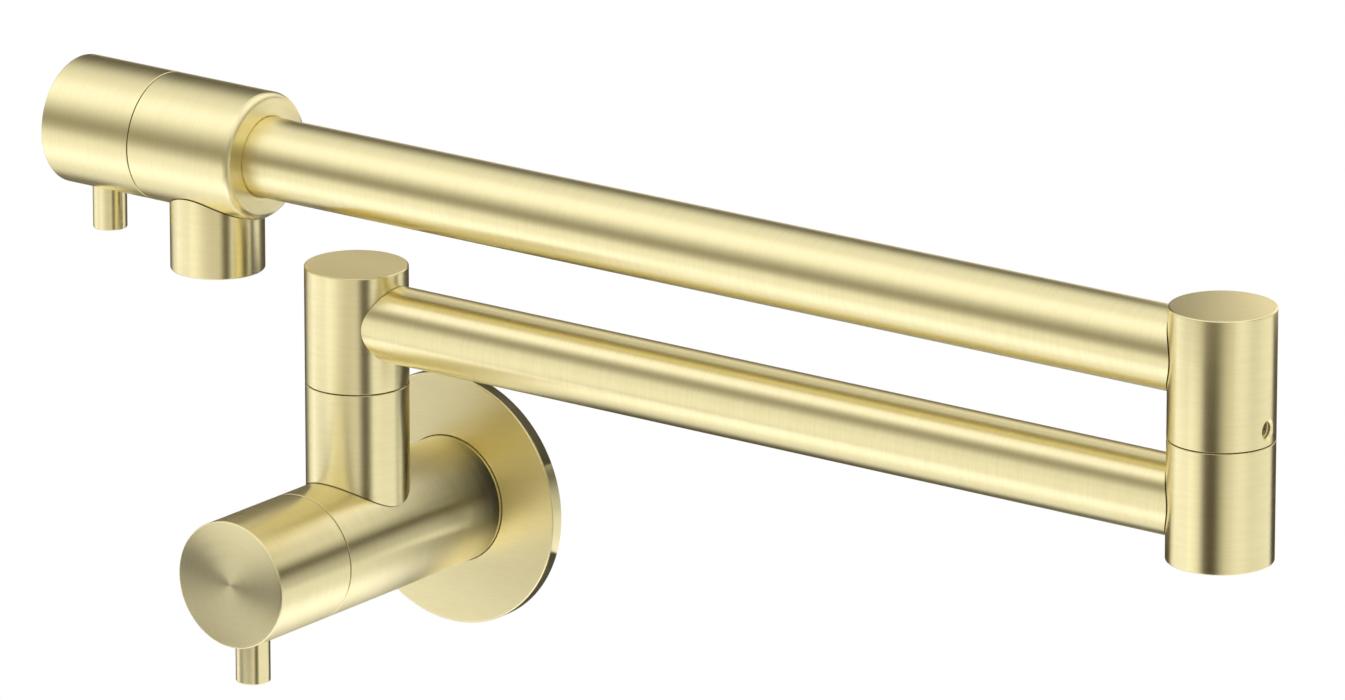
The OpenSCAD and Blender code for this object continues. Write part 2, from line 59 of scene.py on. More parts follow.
# The corners that the frame gives: each piece's lowest and its highest one
BODY_LOW, BODY_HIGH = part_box("valve_body")
STUB_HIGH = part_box("riser_stub")[1]
COLLAR_LOW, COLLAR_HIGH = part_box("riser_collar")
BASE_LOW, BASE_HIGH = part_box("elbow_base")
TOP_LOW, TOP_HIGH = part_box("elbow_top")
LOWER_LOW, LOWER_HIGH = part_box("lower_arm_tube")
UPPER_LOW, UPPER_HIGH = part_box("upper_arm_tube")
HEAD_LOW, HEAD_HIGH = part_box("spout_head")
OUTLET_LOW, OUTLET_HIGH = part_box("outlet_tube")
PLATE_LOW, PLATE_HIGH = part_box("wall_flange")
CAP_LOW, CAP_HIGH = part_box("main_handle_cap")
HEAD_CAP_LOW, HEAD_CAP_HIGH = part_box("head_handle_cap")
PIN_LOW, PIN_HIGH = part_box("main_lever_pin")
HEAD_PIN_LOW, HEAD_PIN_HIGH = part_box("head_lever_pin")
NIPPLE_LOW, NIPPLE_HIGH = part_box("inlet_nipple")
FILTER_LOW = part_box("inlet_filter_washer")[0]
GASKET_LOW, GASKET_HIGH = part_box("flange_gasket")
SEAL_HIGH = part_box("main_seat_seal")[1]
NUT_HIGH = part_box("main_retaining_nut")[1]
HEAD_SEAL_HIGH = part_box("head_seat_seal")[1]
SCREW_LOW, SCREW_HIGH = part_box("elbow_screw")
RISER_SCREW_LOW, RISER_SCREW_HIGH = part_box("riser_screw")
AERATOR_LOW, AERATOR_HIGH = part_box("aerator_housing")
SPIGOT_LOW, SPIGOT_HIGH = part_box("riser_spigot")

BODY_R = BODY_HIGH.z
POST_R = (COLLAR_HIGH.x - COLLAR_LOW.x) / 2
LOWER_R = (LOWER_HIGH.z - LOWER_LOW.z) / 2
UPPER_R = (UPPER_HIGH.z - UPPER_LOW.z) / 2
OUTLET_R = (OUTLET_HIGH.x - OUTLET_LOW.x) / 2
PLATE_R = PLATE_HIGH.z
PIN_R = PIN_HIGH.x
NUT_R = NUT_HIGH.z
RISER_Y = (COLLAR_LOW.y + COLLAR_HIGH.y) / 2
ELBOW_X = (TOP_LOW.x + TOP_HIGH.x) / 2
LOWER_Z = (LOWER_LOW.z + LOWER_HIGH.z) / 2
UPPER_Z = (UPPER_LOW.z + UPPER_HIGH.z) / 2
OUTLET_X = (OUTLET_LOW.x + OUTLET_HIGH.x) / 2
PIN_Y = (PIN_LOW.y + PIN_HIGH.y) / 2
HEAD_PIN_X = (HEAD_PIN_LOW.x + HEAD_PIN_HIGH.x) / 2
SCREW_Z = (SCREW_LOW.z + SCREW_HIGH.z) / 2
RISER_SCREW_Z = (RISER_SCREW_LOW.z + RISER_SCREW_HIGH.z) / 2
SCREW_R = (SCREW_HIGH.z - SCREW_LOW.z) / 2
SPIGOT_R = (SPIGOT_HIGH.x - SPIGOT_LOW.x) / 2
AERATOR_R = (AERATOR_HIGH.x - AERATOR_LOW.x) / 2

# Where each row of pieces starts
WALL = Vector((0, 0, 0))
RISER = Vector((0, RISER_Y, 0))
ELBOW = Vector((ELBOW_X, RISER_Y, 0))
LOWER_ARM = Vector((0, RISER_Y, LOWER_Z))
UPPER_ARM = Vector((ELBOW_X, RISER_Y, UPPER_Z))
OUTLET = Vector((OUTLET_X, RISER_Y, UPPER_Z))

# Steps and rows of the meshes
SEGMENTS = 192
CUTTER_SEGMENTS = 256
PIN_SEGMENTS = 96
FLAG_SEGMENTS = 72
CORNER_STEPS = 4
FILLET_STEPS = 12
THREAD_STEPS = 48
FACE_RINGS = 14
PLATE_RINGS = 24
BACK_RINGS = 6
MOUTH_RINGS = 8
TIP_RINGS = 8
SEAM_RINGS = 4
RIM_ROWS = 3
BAR_ROWS = 12
STUB_ROWS = 16
ARM_ROWS = 48

# Water ways, chambers and sockets inside the pieces
WATER_R = 5 * MM
FEED_R = 8 * MM
SEAT_WALL = 2 * MM
CHAMBER_R = 12 * MM
CHAMBER_L = 13.5 * MM
SOCKET_STEP = 1.2 * MM
SOCKET_DEEP = 8 * MM
POST_FLOOR = 3.6 * MM
POST_ROOF = 4.8 * MM
SLIP_WIDE = 3.2 * MM
SLIP_DEEP = 0.75 * MM
PORT_R = 7.03 * MM
TUBE_WALL = 1.2 * MM
TUBE_SOCKET = 11 * MM
SPUR_R = 7 * MM
SPUR_FLOOR = 13.3 * MM
OUTLET_SPUR_R = 8.5 * MM
OUTLET_PORT_R = 4 * MM
OUTLET_PORT_SHIFT = 2.2 * MM
OUTLET_BORE_R = 6.5 * MM
AERATOR_STEP = 1.5 * MM
INLET_BORE_R = 6 * MM

# The plate's hub and ring groove, the head's fillet, and the handles' inside
HUB_WALL = 2.6 * MM
RING_HALF = 0.85 * MM
RING_DEEP = 1.19 * MM
FILLET_R = 2 * MM
CAVITY_R = 10 * MM
CAVITY_L = 6 * MM
SPINDLE_HOLE_R = 4.02 * MM
CAP_FRONT = 4.8 * MM
PIN_SINK = 4.4 * MM
STUD_R = 3 * MM
STUD_L = 4.2 * MM

# Threads
RIDGE_SHARE = 0.9
CREST_SHARE = 0.16
SCREW_TURNS = 6
SCREW_MOUTH = 0.75 * MM
SCREW_SLACK = 0.02 * MM
SCREW_THREAD = 0.4 * MM
ELBOW_SCREW_TURN = math.radians(2)
RISER_SCREW_TURN = math.radians(180)
INLET_THREAD = 1.16 * MM
INLET_OVERLAP = 0.1 * MM
INLET_BEVEL = 0.5 * MM

# Gaps between pieces, and how far a cutter runs past them
SEAT_GAP = 0.02 * MM
RUN_GAP = 0.05 * MM
LOOSE_GAP = 0.2 * MM
JOIN_GAP = 0.22 * MM
PLATE_GAP = 0.25 * MM
SEAM_HALF = 0.15 * MM
OVERRUN = 1 * MM
SAME_POINT = 0.001 * MM
SAME_RADIUS = 0.01 * MM

# Normals and brushing: cosines of tilts, the angle of a sharp edge, and the brushing's unit along a bar
ALONG = 0.9999
ACROSS = 0.005
ROUND = 0.99
ALIKE = 0.93
SMOOTH_ANGLE = math.radians(35)
UV_UNIT = 10 * MM

# The part of a noise that a finish uses, and how far the gold's roughness goes up and down
PATTERN_LOW = 0.3
PATTERN_HIGH = 0.7
BRUSHED_SWING = 0.03
SATIN_SWING = 0.05

# The stage
MIDDLE = Vector((0.1, 0, 0.05))
WORLD_LEVEL = 0.7
FLOOR_SIZE = 12
FLOOR_Z = -1.7
FLOOR_LEVEL = 0.85
FLOOR_ROUGHNESS = 0.9
DARK_LEVEL = 0.01
DEEP_TINT = (1, 0.8, 0.5)
WARM_TINT = (1, 0.93, 0.8)
COOL_TINT = (1, 1, 1.1)
CAMERA_PLACE = (1.98834, -2.56862, 1.03205)
CAMERA_TURN = (math.radians(73.03), 0, math.radians(36.72))
CAMERA_LENS = 336.43
CAMERA_SENSOR = 36
CAMERA_END = 20


class PotFillerSizes(bpy.types.PropertyGroup):
    """Sizes of the details that the dress adds to the frame"""

    edge: bpy.props.FloatProperty(
        name="Edge rounding", description="Radius of the round edge of each end face",
        default=0.4 * MM, min=0.05 * MM, max=1 * MM, subtype="DISTANCE", unit="LENGTH")
    seam_edge: bpy.props.FloatProperty(
        name="Seam rounding", description="Radius of the round edges beside each seam",
        default=0.22 * MM, min=0.05 * MM, max=0.6 * MM, subtype="DISTANCE", unit="LENGTH")
    mouth: bpy.props.FloatProperty(
        name="Head mouth", description="Chamfer of the hole in the head that the upper arm enters",
        default=0.35 * MM, min=0.1 * MM, max=1 * MM, subtype="DISTANCE", unit="LENGTH")
    inlet_pitch: bpy.props.FloatProperty(
        name="Inlet thread pitch", description="Pitch of the G1/2 inlet thread",
        default=1.814 * MM, min=1 * MM, max=3 * MM, subtype="DISTANCE", unit="LENGTH")
    screw_pitch: bpy.props.FloatProperty(
        name="Grub screw pitch", description="Pitch of the thread in the grub screw holes",
        default=0.8 * MM, min=0.4 * MM, max=1.2 * MM, subtype="DISTANCE", unit="LENGTH")


class PotFillerColours(bpy.types.PropertyGroup):
    """Colours and finish of the metals and of the plain parts"""

    gold: bpy.props.FloatVectorProperty(
        name="Gold", description="Colour of the pale gold plating",
        default=(0.90, 0.81, 0.46), min=0, max=1, subtype="COLOR")
    gold_shade: bpy.props.FloatVectorProperty(
        name="Gold in the brush marks", description="Colour of the plating in its brush marks",
        default=(0.87, 0.775, 0.43), min=0, max=1, subtype="COLOR")
    brass: bpy.props.FloatVectorProperty(
        name="Brass", description="Colour of the bare brass pieces",
        default=(0.78, 0.60, 0.30), min=0, max=1, subtype="COLOR")
    steel: bpy.props.FloatVectorProperty(
        name="Steel", description="Colour of the screws, clips and filter",
        default=(0.60, 0.60, 0.61), min=0, max=1, subtype="COLOR")
    rubber: bpy.props.FloatVectorProperty(
        name="Rubber", description="Colour of the seals",
        default=(0.018, 0.018, 0.02), min=0, max=1, subtype="COLOR")
    ceramic: bpy.props.FloatVectorProperty(
        name="Ceramic", description="Colour of the valve discs",
        default=(0.86, 0.85, 0.80), min=0, max=1, subtype="COLOR")
    acetal: bpy.props.FloatVectorProperty(
        name="Acetal", description="Colour of the slip washers and the aerator's insert",
        default=(0.74, 0.74, 0.70), min=0, max=1, subtype="COLOR")
    roughness: bpy.props.FloatProperty(
        name="Brushing roughness", description="Roughness of the brushed gold",
        default=0.3, min=0.05, max=1)
    satin: bpy.props.FloatProperty(
        name="Satin roughness", description="Roughness of the gold on flat faces",
        default=0.36, min=0.05, max=1)
    stretch: bpy.props.FloatProperty(
        name="Brushing stretch", description="How far the brushing draws highlights out",
        default=0.8, min=0, max=1)


# Mesh tools


def deselect():
    """Leaves nothing selected, in object mode."""
    if bpy.context.object and bpy.context.object.mode != "OBJECT":
        bpy.ops.object.mode_set(mode="OBJECT")
    bpy.ops.object.select_all(action="DESELECT")


def named(name):
    """The object that was just added, with a name for it and its data."""
    piece = bpy.context.object
    piece.name = piece.data.name = name
    return piece


def pick(piece):
    """Makes one piece the only selected and active one."""
    deselect()
    piece.select_set(True)
    bpy.context.view_layer.objects.active = piece


def edit_all():
    """Goes into edit mode with all of the mesh selected."""
    bpy.ops.object.mode_set(mode="EDIT")
    bpy.ops.mesh.select_all(action="SELECT")


def settle(piece, start, way):
    """Turns a piece made along +Z so that it runs from start in the given way, and applies that."""
    pick(piece)
    flip = Matrix.Rotation(math.pi, 3, "X").to_quaternion()
    piece.rotation_mode = "QUATERNION"
    piece.rotation_quaternion = flip if way == -Z else Z.rotation_difference(way)
    piece.location = start
    bpy.ops.object.transform_apply(location=True, rotation=True, scale=True)
    piece.rotation_mode = "XYZ"


def arc(centre, radius, start, end, steps=CORNER_STEPS):
    """Points of an arc in an outline of (radius, distance), with its angles in degrees."""
    angles = [math.radians(start + (end - start) * i / steps) for i in range(steps + 1)]
    return [(centre[0] + radius * math.cos(a), centre[1] + radius * math.sin(a)) for a in angles]


def far_edge(radius, at, edge):
    """The round edge at a bar's far end, from the side in to the end face."""
    return arc((radius - edge, at - edge), edge, 0, 90)


def rings(r_from, r_to, at, count=FACE_RINGS):
    """Points across a flat face, from one radius to another."""
    return [(r_from + (r_to - r_from) * i / count, at) for i in range(count + 1)]


def along(radius, d_from, d_to, count=BAR_ROWS):
    """Points along a bar, from one distance to another."""
    return [(radius, d_from + (d_to - d_from) * i / count) for i in range(count + 1)]


def barrel(radius, near, far, near_round, far_round):
    """The side of a bar, from its near end face to its far one, with a round edge at each."""
    outline = arc((radius - near_round, near + near_round), near_round, -90, 0)
    outline += along(radius, near + near_round, far - far_round)
    return outline + far_edge(radius, far, far_round)


def draw(name, points):
    """Draws an outline as a row of edges, by moving a point and extruding it."""
    deselect()
    bpy.ops.mesh.primitive_plane_add(size=1, location=(0, 0, 0))
    piece = named(name)
    edit_all()
    bpy.ops.mesh.merge(type="CENTER")
    bpy.ops.transform.translate(value=(points[0][0], 0, points[0][1]))
    for (r0, h0), (r1, h1) in zip(points, points[1:]):
        bpy.ops.mesh.extrude_region_move(TRANSFORM_OT_translate={"value": (r1 - r0, 0, h1 - h0)})
    return piece


def weld():
    """Merges the points of the mesh that lie on each other, in edit mode."""
    bpy.ops.mesh.select_all(action="SELECT")
    bpy.ops.mesh.remove_doubles(threshold=SAME_POINT)


def set_down(piece, start, way):
    """Turns the faces of a closed mesh outwards, and puts the piece where it belongs."""
    bpy.ops.mesh.select_all(action="SELECT")
    bpy.ops.mesh.normals_make_consistent(inside=False)
    bpy.ops.object.mode_set(mode="OBJECT")
    settle(piece, start, way)
    return piece


def turn(name, outline, start, way, segments=SEGMENTS):
    """Turns an outline round an axis, as on a lathe. It ends on the axis, or on its first point."""
    points = [outline[0]]
    points += [p for q, p in zip(outline, outline[1:]) if (Vector(p) - Vector(q)).length > SAME_POINT]
    piece = draw(name, points)
    bpy.ops.mesh.select_all(action="SELECT")
    bpy.ops.mesh.spin(steps=segments, angle=math.tau, center=(0, 0, 0), axis=(0, 0, 1))
    weld()
    return set_down(piece, start, way)


def combine(piece, other, how="DIFFERENCE"):
    """Cuts, joins or crosses a piece with another one, which is used up."""
    pick(piece)
    modifier = piece.modifiers.new(how.lower(), "BOOLEAN")
    modifier.operation = how
    modifier.solver = "MANIFOLD"
    modifier.object = other
    bpy.ops.object.modifier_apply(modifier=modifier.name)
    bpy.data.objects.remove(other)


def drill(piece, radius, length, start, way, mouth=0):
    """Cuts a round hole, which widens by mouth at its far end."""
    outline = [(0, 0), (radius, 0), (radius, length)]
    if mouth:
        outline += [(radius + mouth + OVERRUN, length + mouth + OVERRUN)]
    outline += [(0, outline[-1][1])]
    combine(piece, turn("cutter", outline, start, way, CUTTER_SEGMENTS))


def helix(name, root, crest, pitch, turns, start, way):
    """The ridge of a screw thread, as a closed solid."""
    half = pitch * RIDGE_SHARE / 2
    flat = pitch * CREST_SHARE / 2
    points = [(root, -half), (crest, -flat), (crest, flat), (root, half), (root, -half)]
    piece = draw(name, points)
    weld()
    bpy.ops.object.mode_set(mode="OBJECT")
    wind = piece.modifiers.new("wind", "SCREW")
    wind.axis = "Z"
    wind.screw_offset = pitch
    wind.iterations = turns
    wind.steps = wind.render_steps = THREAD_STEPS
    pick(piece)
    bpy.ops.object.modifier_apply(modifier=wind.name)
    bpy.ops.object.mode_set(mode="EDIT")
    weld()
    bpy.ops.mesh.select_all(action="DESELECT")
    bpy.ops.mesh.select_non_manifold()
    bpy.ops.mesh.fill_holes(sides=0)
    return set_down(piece, start, way)


def turn_of(spoke, side, up):
    """Where a direction lies round a bar, as a share of a turn."""
    return math.atan2(spoke.dot(up), spoke.dot(side)) / math.tau


def smooth(piece, start, way, radii, middle):
    """Gives a turned piece exact normals, and lays its brushing out by the outline and the angle."""
    mesh = piece.data
    pick(piece)
    bpy.ops.object.shade_smooth_by_angle(angle=SMOOTH_ANGLE)
    side = X if abs(way.x) < 0.5 else Y
    up = way.cross(side)
    outer = max(radii)
    spokes, runs = [], []
    for vertex in mesh.vertices:
        point = vertex.co - start
        distance = point.dot(way)
        spokes.append(point - way * distance)
        past = outer - spokes[-1].length
        runs.append(distance + (past if distance > middle else -past))
    normals = [n.vector.copy() for n in mesh.corner_normals]
    exact = {}
    for face in mesh.polygons:
        tilt = face.normal.dot(way)
        flat = abs(tilt) > ALONG
        for vertex in face.vertices:
            long = spokes[vertex].length
            if flat:
                exact.setdefault(vertex, []).append(way * (1 if tilt > 0 else -1))
            elif abs(tilt) < ACROSS and any(abs(long - r) < SAME_RADIUS for r in radii):
                spoke = spokes[vertex].normalized()
                lean = face.normal.dot(spoke)
                if abs(lean) > ROUND:
                    exact.setdefault(vertex, []).append(spoke * (1 if lean > 0 else -1))
    mesh.uv_layers.new(name="brush")
    uv = mesh.uv_layers["brush"].data
    for face in mesh.polygons:
        face_angle = turn_of(face.center - start, side, up)
        for corner in face.loop_indices:
            vertex = mesh.loops[corner].vertex_index
            on_axis = spokes[vertex].length <= SAME_RADIUS
            angle = face_angle if on_axis else turn_of(spokes[vertex], side, up)
            angle += round(face_angle - angle)
            uv[corner].uv = ((runs[vertex] - middle) / UV_UNIT, angle)
            for normal in exact.get(vertex, ()):
                if normal.dot(face.normal) > ALIKE:
                    normals[corner] = normal
    mesh.normals_split_custom_set(normals)
    marks = mesh.attributes.new("brush_marks", "FLOAT_VECTOR", "POINT")
    for spoke, run, mark in zip(spokes, runs, marks.data):
        rim = spoke.normalized() * outer
        mark.vector = (run, rim.dot(side), rim.dot(up))


def gild(piece, start, way, radii, middle, body, node):
    """Finishes a turned piece in brushed gold."""
    smooth(piece, start, way, radii, middle)
    dress(piece, body, "brushed_gold", node)


def satin_ends(piece, way):
    """Gives the flat end faces of a piece the satin finish instead of the brushing."""
    piece.data.materials.append(finish("satin_gold"))
    for face in piece.data.polygons:
        if abs(face.normal.dot(way)) > ALONG:
            face.material_index = 1


def dress(piece, body, slot, node):
    """Gives a finished piece its material in a slot and its body, and hides the CAD node that it stands
    for.
    """
    piece.data.materials.clear()
    piece.data.materials.append(finish(slot))
    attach(piece, body)
    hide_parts(node)


# Materials


def paint_of(name):
    """A new node material."""
    paint = bpy.data.materials.new(name)
    paint.use_nodes = True
    return paint


class Surface:
    """A node material with one Principled shader, and short calls that add to it."""

    def __init__(self, name, colour, metallic, roughness):
        self.material = paint_of(name)
        self.tree = self.material.node_tree
        self.shader = self.tree.nodes["Principled BSDF"]
        self.shader.inputs["Base Color"].default_value = (*colour, 1)
        self.shader.inputs["Metallic"].default_value = metallic
        self.shader.inputs["Roughness"].default_value = roughness

    def node(self, kind, inputs=(), **values):
        """A node with its settings and its input numbers."""
        made = self.tree.nodes.new(kind)
        for key, value in values.items():
            setattr(made, key, value)
        for key, value in dict(inputs).items():
            made.inputs[key].default_value = value
        return made

    def link(self, source, target):
        """A link between two sockets."""
        self.tree.links.new(source, target)

    def place(self, scale, attribute=None):
        """Object coordinates, or a named attribute, scaled to a pattern's repeats in a metre."""
        if attribute:
            source = self.node("ShaderNodeAttribute", attribute_name=attribute).outputs["Vector"]
        else:
            source = self.node("ShaderNodeTexCoord").outputs["Object"]
        mapping = self.node("ShaderNodeMapping", {"Scale": scale})
        self.link(source, mapping.inputs["Vector"])
        return mapping.outputs["Vector"]

    def noise(self, place, detail=2):
        """A noise pattern at the size that its place gives."""
        noise = self.node("ShaderNodeTexNoise", {"Scale": 1, "Detail": detail})
        self.link(place, noise.inputs["Vector"])
        return noise.outputs["Fac"]

    def spread(self, value, low, high):
        """Spreads the middle of a pattern between two numbers."""
        numbers = {"From Min": PATTERN_LOW, "From Max": PATTERN_HIGH, "To Min": low, "To Max": high}
        spread = self.node("ShaderNodeMapRange", numbers)
        self.link(value, spread.inputs["Value"])
        return spread.outputs["Result"]

    def add(self, value, other, share):
        """A share of another pattern laid over a pattern."""
        mix = self.node("ShaderNodeMix", {"Factor": share})
        self.link(value, mix.inputs["A"])
        self.link(other, mix.inputs["B"])
        return mix.outputs["Result"]

    def blend(self, value, first, second):
        """Colours the surface between two colours."""
        mix = self.node("ShaderNodeMixRGB", {"Color1": (*first, 1), "Color2": (*second, 1)})
        self.link(value, mix.inputs["Fac"])
        self.link(mix.outputs["Color"], self.shader.inputs["Base Color"])

    def rough(self, value, low, high):
        """Roughens the surface between two numbers."""
        self.link(self.spread(value, low, high), self.shader.inputs["Roughness"])

    def bump(self, value, strength, depth):
        """Raises the surface by a pattern."""
        bump = self.node("ShaderNodeBump", {"Strength": strength, "Distance": depth})
        self.link(value, bump.inputs["Height"])
        self.link(bump.outputs["Normal"], self.shader.inputs["Normal"])


def brushed_gold(look):
    """Pale gold plating, brushed round each bar and turned on each end face."""
    gold = Surface("gold_brushed", look.gold, 1, look.roughness)
    fine = gold.noise(gold.place((2600, 200, 200), "brush_marks"), detail=1)
    marks = gold.noise(gold.place((1300, 120, 120), "brush_marks"), detail=1)
    broad = gold.noise(gold.place((1000, 16, 16), "brush_marks"))
    gold.blend(gold.spread(marks, 0, 1), look.gold, look.gold_shade)
    grain = gold.add(gold.add(marks, fine, 0.5), broad, 0.5)
    gold.rough(grain, look.roughness - BRUSHED_SWING, look.roughness + BRUSHED_SWING)
    gold.shader.inputs["Anisotropic"].default_value = look.stretch
    tangent = gold.node("ShaderNodeTangent", direction_type="UV_MAP", uv_map="brush")
    gold.link(tangent.outputs["Tangent"], gold.shader.inputs["Tangent"])
    return gold.material


def satin_gold(look):
    """The same plating on flat faces that were rubbed straight, in a fine even grain."""
    gold = Surface("gold_satin", look.gold, 1, look.satin)
    grain = gold.noise(gold.place((220, 3200, 3200)), detail=2)
    broad = gold.noise(gold.place((90, 400, 400)))
    gold.blend(gold.spread(grain, 0, 1), look.gold, look.gold_shade)
    gold.rough(gold.add(grain, broad, 0.4), look.satin - SATIN_SWING, look.satin + SATIN_SWING)
    return gold.material


# The finishes of the pieces inside: their mean roughness, a fine and a broad noise by their repeats
# in a metre, the colour where the broad one is strongest as a share of its own, the noise that
# roughens it and between which numbers, the strength and depth of its fine bumps, and what more its
# shader needs.
PLAIN_FINISHES = {
    # Turned brass, as on the ferrules, spigots and nipple
    "plain_brass": {
        "metallic": 1, "roughness": 0.28, "fine": (900, 900, 900), "broad": 60, "share": 0.86,
        "rough": ("fine", 0.22, 0.34), "bump": (0.15, 0.02 * MM)},
    # Bright rolled steel of the screws, clips and filter
    "stainless_steel": {
        "metallic": 1, "roughness": 0.25, "fine": (1500, 1500, 200), "broad": 120, "share": 0.88,
        "rough": ("fine", 0.2, 0.32), "bump": (0.1, 0.01 * MM)},
    # Matt moulded rubber with a fine grain and a trace of grease
    "black_rubber": {
        "roughness": 0.55, "fine": (2200, 2200, 2200), "broad": 110, "share": 1.7,
        "rough": ("broad", 0.42, 0.62), "bump": (0.2, 0.02 * MM)},
    # Lapped ceramic, dense and smooth, with the faintest mottle
    "white_ceramic": {
        "roughness": 0.16, "fine": (1800, 1800, 1800), "fine_detail": 2, "broad": 200,
        "broad_detail": 3, "share": 0.95, "rough": ("fine", 0.12, 0.2),
        "more": {"Specular IOR Level": 0.6}},
    # Moulded acetal, slightly waxy
    "white_acetal": {
        "roughness": 0.38, "fine": (1400, 1400, 1400), "broad": 150, "share": 0.93,
        "rough": ("broad", 0.32, 0.44), "bump": (0.1, 0.02 * MM),
        "more": {"Subsurface Weight": 0.1, "Subsurface Radius": (1.2 * MM, 1.1 * MM, 0.9 * MM),
                 "Subsurface Scale": 1}},
}


def plain_finish(name, look, roughness, fine, broad, share, rough, bump=None, metallic=0,
                 fine_detail=3, broad_detail=2, more=()):
    """A finish with two noises over the colour of its stuff, one of which roughens it."""
    how, stuff = name.split("_")
    colour = getattr(look, stuff)
    surface = Surface(f"{stuff}_{how}", colour, metallic, roughness)
    noises = {
        "fine": surface.noise(surface.place(fine), fine_detail),
        "broad": surface.noise(surface.place((broad, broad, broad)), broad_detail)}
    surface.blend(surface.spread(noises["broad"], 0, 1), colour, [c * share for c in colour])
    which, low, high = rough
    surface.rough(noises[which], low, high)
    if bump:
        surface.bump(noises["fine"], *bump)
    for socket, value in dict(more).items():
        surface.shader.inputs[socket].default_value = value
    return surface.material


GOLD_FINISHES = {"brushed_gold": brushed_gold, "satin_gold": satin_gold}
MATERIALS = {}


def finish(name):
    """The material of one finish, made the first time that it is asked for."""
    if name not in MATERIALS:
        look = bpy.context.scene.pot_filler_colours
        if name in PLAIN_FINISHES:
            MATERIALS[name] = plain_finish(name, look, **PLAIN_FINISHES[name])
        else:
            MATERIALS[name] = GOLD_FINISHES[name](look)
    return MATERIALS[name]


# Parts of the pieces


def cope(piece, radius, centre, way):
    """Cuts the saddle where a piece meets a post or bar."""
    reach = 2 * POST_R
    drill(piece, radius + JOIN_GAP, 2 * reach, centre - way * reach, way)


def cut_port(piece, start, way):
    """Cuts the port that an arm's ferrule fits."""
    drill(piece, PORT_R, POST_R + OVERRUN, start, way)


def cut_screw_hole(piece, axis, height, turn_by, pitch):
    """Cuts a threaded hole for a grub screw, with a small countersink."""
    way = Vector((math.cos(turn_by), math.sin(turn_by), 0))
    start = Vector((axis.x, axis.y, height))
    reach = POST_R - SCREW_MOUTH
    drill(piece, SCREW_R + SCREW_SLACK, reach, start, way, SCREW_MOUTH)
    foot = start + way * (reach - SCREW_TURNS * pitch)
    combine(piece, helix("cutter", SCREW_R, SCREW_R + SCREW_THREAD, pitch, SCREW_TURNS, foot, way))


def add_spur(piece, bore, radius, start, way):
    """Adds the short spur of a post, which enters the bar that it stands on."""
    top = BODY_R + OVERRUN
    outline = [(bore, SPUR_FLOOR), (radius, SPUR_FLOOR), (radius, top), (bore, top), (bore, SPUR_FLOOR)]
    combine(piece, turn("spur", outline, start, way), "UNION")


def spigot_socket(high, floor):
    """The socket that a spigot is screwed into, from the top of a lower half down to its floor."""
    seat = SPIGOT_R + SEAT_GAP
    narrow = SPIGOT_R - SOCKET_STEP
    step = high + SEAM_HALF - SOCKET_DEEP
    return [(seat, high), (seat, step), (narrow, step), (narrow, floor)]


def collar_outline(low, high, seam_edge, edge):
    """The half of a post that turns: closed above, open below, with room for the slip washer."""
    slip = SPIGOT_R + SLIP_WIDE
    bore = SPIGOT_R + RUN_GAP
    roof = high - POST_ROOF
    outline = rings(0, POST_R - edge, high) + barrel(POST_R, low, high, seam_edge, edge)[::-1]
    outline += [(slip, low), (slip, low + SLIP_DEEP), (bore, low + SLIP_DEEP), (bore, roof), (0, roof)]
    return outline


def head_bore(seat, front):
    """The chamber of a valve, from its front face in to the water way."""
    step = seat + CHAMBER_L
    nut = NUT_R + SEAT_GAP
    return [(nut, front), (nut, step), (CHAMBER_R, step), (CHAMBER_R, seat), (WATER_R, seat)]


# Operators


class PotFillerOperator:
    """What the operators share."""

    bl_options = {"REGISTER", "UNDO"}

    @property
    def sizes(self):
        return bpy.context.scene.pot_filler_sizes


class OBJECT_OT_wall_plate(PotFillerOperator, bpy.types.Operator):
    """The round plate against the wall, with its gasket recess and ring groove"""

    bl_idname = "pot_filler.wall_plate"
    bl_label = "Wall Plate"

    def execute(self, context):
        edge = self.sizes.edge
        front = -PLATE_LOW.y
        hole = BODY_R + PLATE_GAP
        inner = hole + HUB_WALL
        outer = GASKET_HIGH.x + LOOSE_GAP
        deep = -GASKET_LOW.y
        ring_front, ring_back = front / 2 + RING_HALF, front / 2 - RING_HALF
        groove = [(hole, ring_front), (hole + RING_DEEP, ring_front)]
        groove += [(hole + RING_DEEP, ring_back), (hole, ring_back)]
        outline = [(hole, 0), (inner, 0), (inner, deep), (outer, deep), (outer, 0), (PLATE_R, 0)]
        outline += along(PLATE_R, 0, front - edge, RIM_ROWS)[1:] + far_edge(PLATE_R, front, edge)[1:]
        outline += rings(PLATE_R - edge, hole, front, PLATE_RINGS)[1:] + groove + [(hole, 0)]
        plate = turn("wall_plate", outline, WALL, -Y)
        gild(plate, WALL, -Y, [PLATE_R, hole], 0, "wall_body", "wall_flange")
        satin_ends(plate, Y)
        return {"FINISHED"}


class OBJECT_OT_valve_bar(PotFillerOperator, bpy.types.Operator):
    """The valve body, with its inlet, water way, valve chamber and riser port"""

    bl_idname = "pot_filler.valve_bar"
    bl_label = "Valve Body"

    def execute(self, context):
        back = -BODY_HIGH.y
        front = -BODY_LOW.y
        seat = -SEAL_HIGH.y
        stop = -FILTER_LOW.y
        inlet = NIPPLE_HIGH.x + SEAT_GAP
        edge, seam = self.sizes.edge, self.sizes.seam_edge
        outline = rings(inlet, BODY_R - edge, back, BACK_RINGS) + barrel(BODY_R, back, front, edge, seam)
        outline += head_bore(seat, front) + [(WATER_R, seat - SEAT_WALL), (FEED_R, seat - SEAT_WALL)]
        outline += [(FEED_R, stop), (inlet, stop), (inlet, back)]
        body = turn("valve_bar", outline, WALL, -Y)
        drill(body, PORT_R, BODY_R, RISER + Z * SPUR_FLOOR, Z)
        drill(body, WATER_R, BODY_R, RISER, Z)
        radii = [BODY_R, inlet, NUT_R + SEAT_GAP, CHAMBER_R, FEED_R]
        gild(body, WALL, -Y, radii, front / 2, "wall_body", "valve_body")
        return {"FINISHED"}


